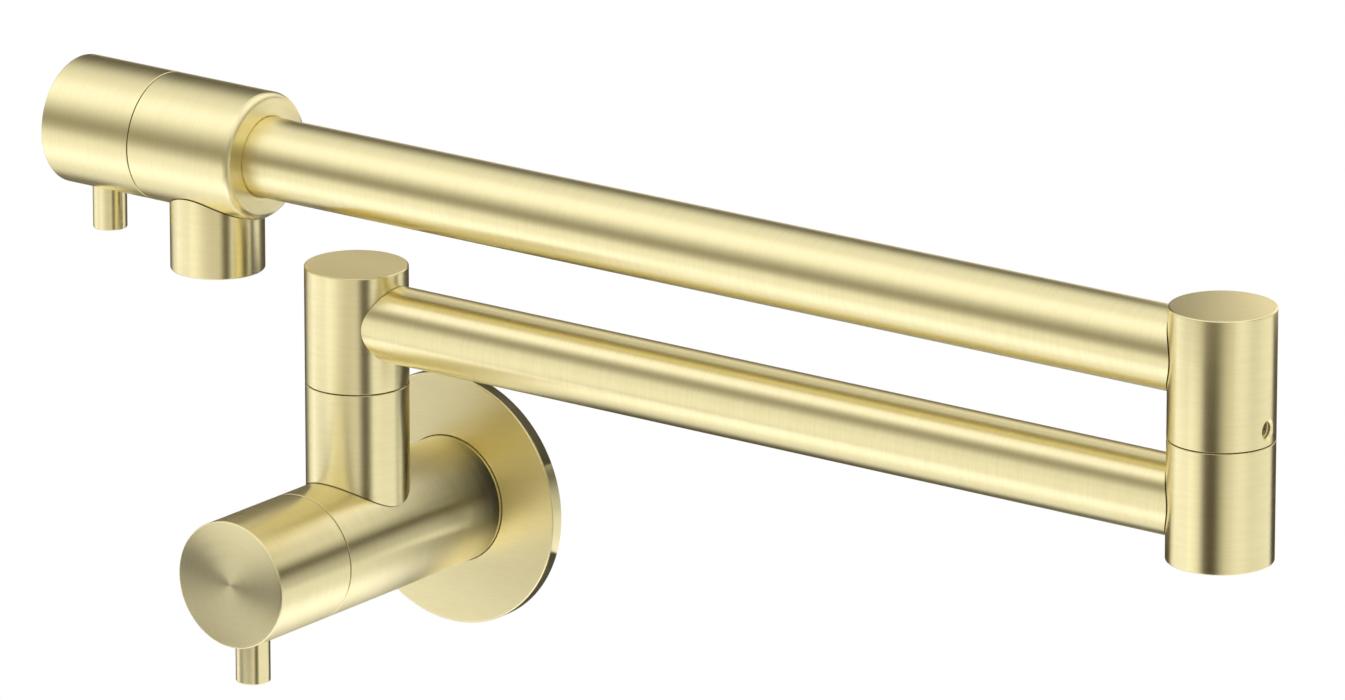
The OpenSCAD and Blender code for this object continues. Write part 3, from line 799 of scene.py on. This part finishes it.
class OBJECT_OT_posts(PotFillerOperator, bpy.types.Operator):
    """The riser and the elbow, each in two halves that turn on a spigot"""

    bl_idname = "pot_filler.posts"
    bl_label = "Riser and Elbow"

    def finish_post(self, piece, start, low, high, body, node):
        radii = [POST_R, SPIGOT_R + RUN_GAP, SPIGOT_R + SEAT_GAP]
        gild(piece, start, Z, radii, (low + high) / 2, body, node)
        satin_ends(piece, Z)

    def stub(self, seam):
        low, top = BODY_R / 2, STUB_HIGH.z
        floor = BODY_R + POST_FLOOR
        outline = [(WATER_R, low), (POST_R, low)] + along(POST_R, low, top - seam, STUB_ROWS)[1:]
        outline += far_edge(POST_R, top, seam) + spigot_socket(top, floor)
        outline += [(WATER_R, floor), (WATER_R, low)]
        piece = turn("riser_post", outline, RISER, Z)
        cope(piece, BODY_R, RISER, -Y)
        add_spur(piece, WATER_R, SPUR_R, RISER, Z)
        self.finish_post(piece, RISER, -BODY_R, top, "wall_body", "riser_stub")

    def upper_half(self, name, start, low, high, port, port_way, screw_z, screw_turn, body, node):
        sizes = self.sizes
        piece = turn(name, collar_outline(low, high, sizes.seam_edge, sizes.edge), start, Z)
        cut_port(piece, start + Z * port, port_way)
        cut_screw_hole(piece, start, screw_z, screw_turn, sizes.screw_pitch)
        self.finish_post(piece, start, low, high, body, node)

    def elbow_foot(self, edge, seam):
        low, high = BASE_LOW.z, BASE_HIGH.z
        floor = low + POST_FLOOR
        outline = rings(0, POST_R - edge, low) + barrel(POST_R, low, high, edge, seam)
        outline += spigot_socket(high, floor) + [(0, floor)]
        piece = turn("elbow_bottom", outline, ELBOW, Z)
        cut_port(piece, ELBOW + Z * LOWER_Z, -X)
        self.finish_post(piece, ELBOW, low, high, "lower_arm", "elbow_base")

    def execute(self, context):
        self.stub(self.sizes.seam_edge)
        self.upper_half(
            "riser_top", RISER, COLLAR_LOW.z, COLLAR_HIGH.z, LOWER_Z, X,
            RISER_SCREW_Z, RISER_SCREW_TURN, "lower_arm", "riser_collar")
        self.elbow_foot(self.sizes.edge, self.sizes.seam_edge)
        self.upper_half(
            "elbow_cap", ELBOW, TOP_LOW.z, TOP_HIGH.z, UPPER_Z, -X,
            SCREW_Z, ELBOW_SCREW_TURN, "upper_arm", "elbow_top")
        return {"FINISHED"}


class OBJECT_OT_arms(PotFillerOperator, bpy.types.Operator):
    """Both arm tubes, coped to their posts"""

    bl_idname = "pot_filler.arms"
    bl_label = "Arms"

    def tube(self, name, radius, length, start, way, posts, body, node):
        inner = radius - TUBE_WALL
        outline = [(inner, 0), (radius, 0)] + along(radius, 0, length, ARM_ROWS)[1:]
        outline += [(inner, length), (inner, 0)]
        piece = turn(name, outline, start, way)
        for post in posts:
            cope(piece, POST_R, post, Z)
        gild(piece, start, way, [radius, inner], 0, body, node)

    def execute(self, context):
        reach = ELBOW_X - UPPER_LOW.x
        lower_posts = (LOWER_ARM, LOWER_ARM + X * ELBOW_X)
        self.tube(
            "lower_arm", LOWER_R, ELBOW_X, LOWER_ARM, X, lower_posts, "lower_arm", "lower_arm_tube")
        self.tube(
            "upper_arm", UPPER_R, reach, UPPER_ARM, -X, (UPPER_ARM,), "upper_arm", "upper_arm_tube")
        return {"FINISHED"}


class OBJECT_OT_outlet_head(PotFillerOperator, bpy.types.Operator):
    """The head that the upper arm ends in, and its outlet"""

    bl_idname = "pot_filler.outlet_head"
    bl_label = "Head and Outlet"

    def head(self, seam, mouth):
        face = ELBOW_X - HEAD_HIGH.x
        front = ELBOW_X - HEAD_LOW.x
        seat = ELBOW_X - HEAD_SEAL_HIGH.x
        socket = UPPER_R + SEAT_GAP
        floor = face + TUBE_SOCKET
        rim = BODY_R - FILLET_R
        outline = [(socket, face + mouth)] + rings(socket + mouth, rim, face, MOUTH_RINGS)
        outline += arc((rim, face + FILLET_R), FILLET_R, -90, 0, FILLET_STEPS)
        outline += along(BODY_R, face + FILLET_R, front - seam) + far_edge(BODY_R, front, seam)
        outline += head_bore(seat, front) + [(WATER_R, floor), (socket, floor), (socket, face + mouth)]
        piece = turn("outlet_head", outline, UPPER_ARM, -X)
        drill(piece, OUTLET_SPUR_R + SEAT_GAP, BODY_R, OUTLET - Z * SPUR_FLOOR, -Z)
        drill(piece, OUTLET_PORT_R, BODY_R, OUTLET - X * OUTLET_PORT_SHIFT, -Z)
        radii = [BODY_R, socket, NUT_R + SEAT_GAP, CHAMBER_R]
        gild(piece, UPPER_ARM, -X, radii, (face + front) / 2, "upper_arm", "spout_head")

    def outlet(self, edge):
        low, drop = BODY_R / 2, OUTLET.z - OUTLET_LOW.z
        roof = OUTLET.z - AERATOR_HIGH.z - AERATOR_STEP
        wide = AERATOR_R + SEAT_GAP
        outline = [(OUTLET_BORE_R, low), (OUTLET_R, low)] + along(OUTLET_R, low, drop - edge)[1:]
        outline += far_edge(OUTLET_R, drop, edge) + [(wide, drop), (wide, roof)]
        outline += [(OUTLET_BORE_R, roof), (OUTLET_BORE_R, low)]
        piece = turn("outlet", outline, OUTLET, -Z)
        cope(piece, BODY_R, OUTLET, X)
        add_spur(piece, OUTLET_BORE_R, OUTLET_SPUR_R, OUTLET, -Z)
        gild(piece, OUTLET, -Z, [OUTLET_R, wide, OUTLET_BORE_R], 0, "upper_arm", "outlet_tube")

    def execute(self, context):
        self.head(self.sizes.seam_edge, self.sizes.mouth)
        self.outlet(self.sizes.edge)
        return {"FINISHED"}


class OBJECT_OT_handles(PotFillerOperator, bpy.types.Operator):
    """Both handles: a turned cap with a lever pin"""

    bl_idname = "pot_filler.handles"
    bl_label = "Handles"

    def handle(self, prefix, start, way, near, far, pin_at, body):
        edge, seam = self.sizes.edge, self.sizes.seam_edge
        roof = far - CAP_FRONT
        floor = near + CAVITY_L
        outline = [(0, roof), (SPINDLE_HOLE_R, roof), (SPINDLE_HOLE_R, floor), (CAVITY_R, floor)]
        outline += [(CAVITY_R, near)] + rings(CAVITY_R, BODY_R - seam, near, SEAM_RINGS)[1:]
        outline += barrel(BODY_R, near, far, seam, edge) + rings(BODY_R - edge, 0, far)
        cap = turn(prefix + "_handle_bar", outline, start, way)
        axis = start + way * pin_at
        drill(cap, STUD_R + SEAT_GAP, BODY_R, axis, -Z)
        drill(cap, PIN_R + SEAT_GAP, BODY_R, axis - Z * (BODY_R - PIN_SINK), -Z)
        gild(cap, start, way, [BODY_R, CAVITY_R], (near + far) / 2, body, prefix + "_handle_cap")
        return axis

    def pin(self, prefix, axis, tip, body):
        edge = self.sizes.edge
        foot = BODY_R - PIN_SINK
        outline = [(0, foot - STUD_L), (STUD_R, foot - STUD_L), (STUD_R, foot)]
        outline += barrel(PIN_R, foot, tip, edge, edge) + rings(PIN_R - edge, 0, tip, TIP_RINGS)
        pin = turn(prefix + "_lever", outline, axis, -Z, PIN_SEGMENTS)
        gild(pin, axis, -Z, [PIN_R], (foot + tip) / 2, body, prefix + "_lever_pin")

    def execute(self, context):
        axis = self.handle("main", WALL, -Y, -CAP_HIGH.y, -CAP_LOW.y, -PIN_Y, "main_handle")
        self.pin("main", axis, axis.z - PIN_LOW.z, "main_handle")
        near, far = ELBOW_X - HEAD_CAP_HIGH.x, ELBOW_X - HEAD_CAP_LOW.x
        axis = self.handle("head", UPPER_ARM, -X, near, far, ELBOW_X - HEAD_PIN_X, "head_handle")
        self.pin("head", axis, axis.z - HEAD_PIN_LOW.z, "head_handle")
        return {"FINISHED"}


class OBJECT_OT_inlet_thread(PotFillerOperator, bpy.types.Operator):
    """The inlet nipple with its G1/2 thread, which stands out behind the plate"""

    bl_idname = "pot_filler.inlet_thread"
    bl_label = "Inlet Thread"

    def execute(self, context):
        pitch = self.sizes.inlet_pitch
        radius = NIPPLE_HIGH.x
        back, front = -NIPPLE_HIGH.y, -NIPPLE_LOW.y
        root = radius - INLET_THREAD
        bore = INLET_BORE_R
        outline = [(bore, front), (bore, back), (root, back), (root, front), (bore, front)]
        nipple = turn("inlet_pipe", outline, WALL, -Y)
        turns = math.ceil((front - back) / pitch) + 1
        foot = WALL - Y * (back - pitch / 2)
        combine(nipple, helix("ridge", root - INLET_OVERLAP, radius, pitch, turns, foot, -Y), "UNION")
        envelope = [(0, back), (radius - INLET_BEVEL, back), (radius, back + INLET_BEVEL)]
        envelope += [(radius, front - INLET_BEVEL), (radius - INLET_BEVEL, front), (0, front)]
        combine(nipple, turn("envelope", envelope, WALL, -Y), "INTERSECT")
        bpy.ops.object.shade_smooth_by_angle(angle=SMOOTH_ANGLE)
        dress(nipple, "wall_body", "plain_brass", "inlet_nipple")
        return {"FINISHED"}


class OBJECT_OT_inner_finishes(PotFillerOperator, bpy.types.Operator):
    """The finishes of the CAD pieces that stay: brass, steel, rubber, ceramic and acetal"""

    bl_idname = "pot_filler.inner_finishes"
    bl_label = "Inner Finishes"

    def execute(self, context):
        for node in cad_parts.values():
            slots = node.material_slots
            if not len(slots) or slots[0].material is None:
                raise RuntimeError(node.name + " has no material slot")
            name = slots[0].material.name.split(".")[0]
            for entry in slots:
                entry.material = finish(name)
        return {"FINISHED"}


# The stage


def lamp(name, place, size, power):
    """A soft area light on the middle of the object, which the camera doesn't see."""
    bpy.ops.object.light_add(type="AREA", location=place)
    light = named(name)
    light.data.shape = "RECTANGLE"
    light.data.size, light.data.size_y = size
    light.data.energy = power
    light.rotation_euler = (MIDDLE - Vector(place)).to_track_quat("-Z", "Y").to_euler()
    light.visible_camera = False


def reckon(tree, how, first, second):
    """One step of arithmetic on two values, each a socket or a number."""
    made = tree.nodes.new("ShaderNodeMath")
    made.operation = how
    for value, socket in zip((first, second), made.inputs):
        if isinstance(value, bpy.types.NodeSocket):
            tree.links.new(value, socket)
        else:
            socket.default_value = value
    return made.outputs[0]


def show(tree, share, first, second):
    """Mixes two shaders by a value, and gives the result to the surface."""
    mix = tree.nodes.new("ShaderNodeMixShader")
    for value, socket in zip((share, first, second), mix.inputs):
        tree.links.new(value, socket)
    tree.links.new(mix.outputs["Shader"], tree.nodes["Material Output"].inputs["Surface"])


def mirrored_only(piece, paint):
    """Gives a stage piece its material, and leaves it to the reflections of the metal."""
    piece.visible_camera = piece.visible_diffuse = False
    piece.visible_shadow = piece.visible_transmission = False
    piece.data.materials.append(paint)


def tone(tree, axis, share):
    """A card's fade towards two of its edges, over a share of its half width."""
    nodes, links = tree.nodes, tree.links
    place = nodes.new("ShaderNodeTexCoord")
    split = nodes.new("ShaderNodeSeparateXYZ")
    links.new(place.outputs["UV"], split.inputs["Vector"])
    fade = nodes.new("ShaderNodeMapRange")
    fade.interpolation_type = "SMOOTHSTEP"
    fade.inputs["From Max"].default_value = share / 2
    links.new(reckon(tree, "PINGPONG", split.outputs[axis], 0.5), fade.inputs["Value"])
    return fade.outputs["Result"]


def card(name, place, facing, length_way, size, fades, level, tint):
    """A card with soft edges that only the metal mirrors, from its front. Level 1 is white."""
    deselect()
    bpy.ops.mesh.primitive_plane_add(size=1)
    board = named(name)
    front = Vector(facing).normalized()
    length_way = (Vector(length_way) - front * front.dot(Vector(length_way))).normalized()
    turned = Matrix((length_way, front.cross(length_way), front)).transposed().to_4x4()
    board.matrix_world = Matrix.Translation(place) @ turned @ Matrix.Diagonal((*size, 1, 1))
    paint = paint_of(name)
    tree = paint.node_tree
    tree.nodes.remove(tree.nodes["Principled BSDF"])
    glow = tree.nodes.new("ShaderNodeEmission")
    glow.inputs["Color"].default_value = (*tint, 1)
    glow.inputs["Strength"].default_value = level
    clear = tree.nodes.new("ShaderNodeBsdfTransparent")
    back = tree.nodes.new("ShaderNodeNewGeometry").outputs["Backfacing"]
    soft = reckon(tree, "MULTIPLY", tone(tree, "X", fades[0]), tone(tree, "Y", fades[1]))
    from_front = reckon(tree, "MULTIPLY", soft, reckon(tree, "SUBTRACT", 1, back))
    show(tree, from_front, clear.outputs["BSDF"], glow.outputs["Emission"])
    mirrored_only(board, paint)


def dark_ring(name, inner, outer, behind, gap_from, gap_to):
    """An open dark ring just behind the plate, which darkens the plate's rim."""
    deselect()
    bpy.ops.mesh.primitive_circle_add(vertices=FLAG_SEGMENTS, radius=inner, location=(0, 0, 0))
    ring = named(name)
    edit_all()
    bpy.ops.mesh.extrude_edges_move()
    bpy.ops.transform.resize(value=(outer / inner, outer / inner, 1))
    bpy.ops.object.mode_set(mode="OBJECT")
    for face in ring.data.polygons:
        angle = math.degrees(math.atan2(-face.center.y, face.center.x))
        face.select = gap_from < angle < gap_to
    bpy.ops.object.mode_set(mode="EDIT")
    bpy.ops.mesh.select_mode(type="FACE")
    bpy.ops.mesh.delete(type="FACE")
    bpy.ops.object.mode_set(mode="OBJECT")
    ring.matrix_world = Matrix.Translation((0, behind, 0)) @ Matrix.Rotation(-math.pi / 2, 4, "X")
    paint = paint_of(name)
    shader = paint.node_tree.nodes["Principled BSDF"]
    shader.inputs["Base Color"].default_value = (DARK_LEVEL, DARK_LEVEL, DARK_LEVEL, 1)
    shader.inputs["Roughness"].default_value = 1
    shader.inputs["Specular IOR Level"].default_value = 0
    mirrored_only(ring, paint)


def round_x(degrees):
    """A direction round the arms' axis, from the front upwards."""
    angle = math.radians(degrees)
    return Vector((0, -math.cos(angle), math.sin(angle)))


def round_y(degrees):
    """A direction round the body's axis, from the right upwards."""
    angle = math.radians(degrees)
    return Vector((math.cos(angle), 0, math.sin(angle)))


def round_z(degrees, lift=0):
    """A direction round the posts' axis, from the front to the right, and up by lift."""
    angle, rise = math.radians(degrees), math.radians(lift)
    return Vector((math.sin(angle) * math.cos(rise), -math.cos(angle) * math.cos(rise), math.sin(rise)))


# Places and ways of the cards
REAR = round_z(224)
REAR_RIGHT = round_z(184, -14)
WIDE_AIM = Vector((0.14, 0, 0))
WIDE_PLACE = WIDE_AIM + round_z(22) * 1.2 - Z * 0.35
UP_LEFT = (0.571, -0.767, -0.292)
ARM_END = Vector((-0.9, RISER_Y, 0.08))
BODY_END = Vector((0, 1.3, 0))

# Cards: name, place, the ways that each faces and runs, size, fades along and across, level, tint
CARDS = (
    ("rear", MIDDLE + REAR * 1.5, -REAR, round_z(314), (3.4, 3.6), (0.7, 0.5), 0.06, DEEP_TINT),
    ("rear_right", MIDDLE + REAR_RIGHT * 1.4, -REAR_RIGHT, round_z(274),
     (1.5, 1.3), (0.7, 0.7), 0.06, DEEP_TINT),
    ("post_core", (0.318, -0.254, -0.03), (-0.16, 0.204, 0), (0.8, -0.6, 0),
     (0.27, 0.8), (0.78, 0.3), 0.06, DEEP_TINT),
    ("post_wide", WIDE_PLACE, WIDE_AIM - WIDE_PLACE, round_z(112),
     (3, 1.6), (1, 0.4), 0.62, WARM_TINT),
    ("arm_bar", (-0.07, -0.114, 0.112), -round_x(24.6), X, (1, 0.09), (0.1, 1), 0.36, WARM_TINT),
    ("edge_light", (-0.07, 0.012, 0.108), (0, -0.056, -0.047), X,
     (1, 0.03), (0.1, 0.5), 1, WARM_TINT),
    ("under_head", (-0.27, 0.05, -0.15), (0.4, -0.3, 0.85), X,
     (0.34, 0.2), (0.3, 1), 0.06, DEEP_TINT),
    ("under_arm", (0.16, -0.022, 0.004), (0.3, -0.3, 0.9), X,
     (0.26, 0.06), (0.3, 0.8), 0.06, DEEP_TINT),
    ("face_flag", (-0.128, -0.19, -0.035), (0, 0.629, -0.777), X,
     (0.46, 0.115), (0.3, 0.4), 0.02, DEEP_TINT),
    ("plate_flag", (-0.06, -0.15, -0.065), (0.157, 0.72, -0.674), X,
     (0.1, 0.14), (0.8, 0.8), 0.06, DEEP_TINT),
    ("neck_shade", (0.0175, -0.0046, 0.007), -Y, Z, (0.072, 0.045), (0.9, 0.9), 0, DEEP_TINT),
    ("elbow_edge", (0.307, 0.25, -0.005), (0, -1, 0.1), X,
     (0.17, 0.2), (0.6, 0.4), 0.02, DEEP_TINT),
    ("elbow_glow", (0.255, 0.055, 0.149), UP_LEFT, (0.8, 0.6, 0),
     (0.12, 0.06), (1, 0.8), 1.7, WARM_TINT),
    ("arm_high", ARM_END + round_x(66) * 1.3, -round_x(66), X, (3.6, 0.9), (0.2, 1), 1.3, COOL_TINT),
    ("arm_low", ARM_END + round_x(-52) * 0.9, -round_x(-52), X,
     (3.6, 0.9), (0.2, 1), 1.45, COOL_TINT),
    ("body_wide", BODY_END + round_y(14) * 1.1, -round_y(14), Y, (3, 0.95), (0.2, 1), 0.2, WARM_TINT),
    ("body_core", BODY_END + round_y(14) * 1.05, -round_y(14), Y,
     (3, 0.4), (0.2, 1), 0.05, DEEP_TINT),
    ("body_high", BODY_END + round_y(66) * 1.1, -round_y(66), Y, (3, 1), (0.2, 1), 1.35, COOL_TINT),
    ("body_low", BODY_END + round_y(-66) * 1.1, -round_y(-66), Y, (3, 1.4), (0.2, 1), 1.5, COOL_TINT),
)

# The ring behind the plate: its radii, its place behind the wall face, and its gap in degrees
RIM_RING = (0.0358, 0.056, 0.003, -18, 25)

# Lamps: where they are, their size and their power
LAMPS = (
    ("key", (-1.4, -1.2, 2.2), (2.4, 1.6), 2),
    ("low", (0.2, -2.0, -0.5), (3.0, 1.0), 2),
)


class OBJECT_OT_stage(PotFillerOperator, bpy.types.Operator):
    """The plain pale floor, the soft lights, the reflection cards and the camera"""

    bl_idname = "pot_filler.stage"
    bl_label = "Stage"

    def execute(self, context):
        self.world()
        self.floor()
        self.lights()
        self.camera()
        context.scene.view_settings.view_transform = "Standard"
        return {"FINISHED"}

    def seen(self, tree):
        """1 for the rays that show the white background: the camera's, and those of gloss and glass."""
        rays = tree.nodes.new("ShaderNodeLightPath")
        total = rays.outputs["Is Camera Ray"]
        for name in ("Is Glossy Ray", "Is Transmission Ray"):
            total = reckon(tree, "MAXIMUM", total, rays.outputs[name])
        return total

    def world(self):
        world = bpy.data.worlds.new("studio")
        bpy.context.scene.world = world
        world.use_nodes = True
        tree = world.node_tree
        background = tree.nodes["Background"]
        background.inputs["Color"].default_value = (1, 1, 1, 1)
        level = reckon(tree, "MAXIMUM", self.seen(tree), WORLD_LEVEL)
        tree.links.new(level, background.inputs["Strength"])

    def floor(self):
        deselect()
        bpy.ops.mesh.primitive_plane_add(size=FLOOR_SIZE, location=(0, 0, FLOOR_Z))
        floor = named("floor")
        bpy.ops.object.transform_apply(location=True)
        paint = paint_of("pale_floor")
        tree = paint.node_tree
        shader = tree.nodes["Principled BSDF"]
        shader.inputs["Base Color"].default_value = (FLOOR_LEVEL, FLOOR_LEVEL, FLOOR_LEVEL, 1)
        shader.inputs["Roughness"].default_value = FLOOR_ROUGHNESS
        glow = tree.nodes.new("ShaderNodeEmission")
        show(tree, self.seen(tree), shader.outputs["BSDF"], glow.outputs["Emission"])
        floor.data.materials.append(paint)

    def lights(self):
        for row in LAMPS:
            lamp(*row)
        for row in CARDS:
            card(*row)
        dark_ring("rim_ring", *RIM_RING)

    def camera(self):
        bpy.ops.object.camera_add(location=CAMERA_PLACE, rotation=CAMERA_TURN)
        camera = named("camera")
        camera.data.sensor_width = CAMERA_SENSOR
        camera.data.lens = CAMERA_LENS
        camera.data.clip_end = CAMERA_END
        bpy.context.scene.camera = camera


OPERATORS = (
    OBJECT_OT_wall_plate, OBJECT_OT_valve_bar, OBJECT_OT_posts, OBJECT_OT_arms, OBJECT_OT_outlet_head,
    OBJECT_OT_handles, OBJECT_OT_inlet_thread, OBJECT_OT_inner_finishes, OBJECT_OT_stage)


class VIEW3D_PT_pot_filler(bpy.types.Panel):
    """The sidebar panel that lists the steps"""

    bl_idname = "VIEW3D_PT_pot_filler"
    bl_label = "Pot Filler"
    bl_space_type = "VIEW_3D"
    bl_region_type = "UI"
    bl_category = "Pot Filler"

    def draw(self, context):
        for group in (context.scene.pot_filler_sizes, context.scene.pot_filler_colours):
            for name in group.bl_rna.properties.keys():
                if name not in ("rna_type", "name"):
                    self.layout.prop(group, name)
        for operator in OPERATORS:
            self.layout.operator(operator.bl_idname)


CLASSES = (PotFillerSizes, PotFillerColours) + OPERATORS + (VIEW3D_PT_pot_filler,)


def register():
    for item in CLASSES:
        bpy.utils.register_class(item)
    bpy.types.Scene.pot_filler_sizes = bpy.props.PointerProperty(type=PotFillerSizes)
    bpy.types.Scene.pot_filler_colours = bpy.props.PointerProperty(type=PotFillerColours)


def unregister():
    del bpy.types.Scene.pot_filler_colours
    del bpy.types.Scene.pot_filler_sizes
    for item in reversed(CLASSES):
        bpy.utils.unregister_class(item)


def main():
    """Dresses the part step by step."""
    register()
    bpy.ops.pot_filler.wall_plate()
    bpy.ops.pot_filler.valve_bar()
    bpy.ops.pot_filler.posts()
    bpy.ops.pot_filler.arms()
    bpy.ops.pot_filler.outlet_head()
    bpy.ops.pot_filler.handles()
    bpy.ops.pot_filler.inlet_thread()
    bpy.ops.pot_filler.inner_finishes()
    bpy.ops.pot_filler.stage()
    deselect()


if __name__ == "__main__":
    main()
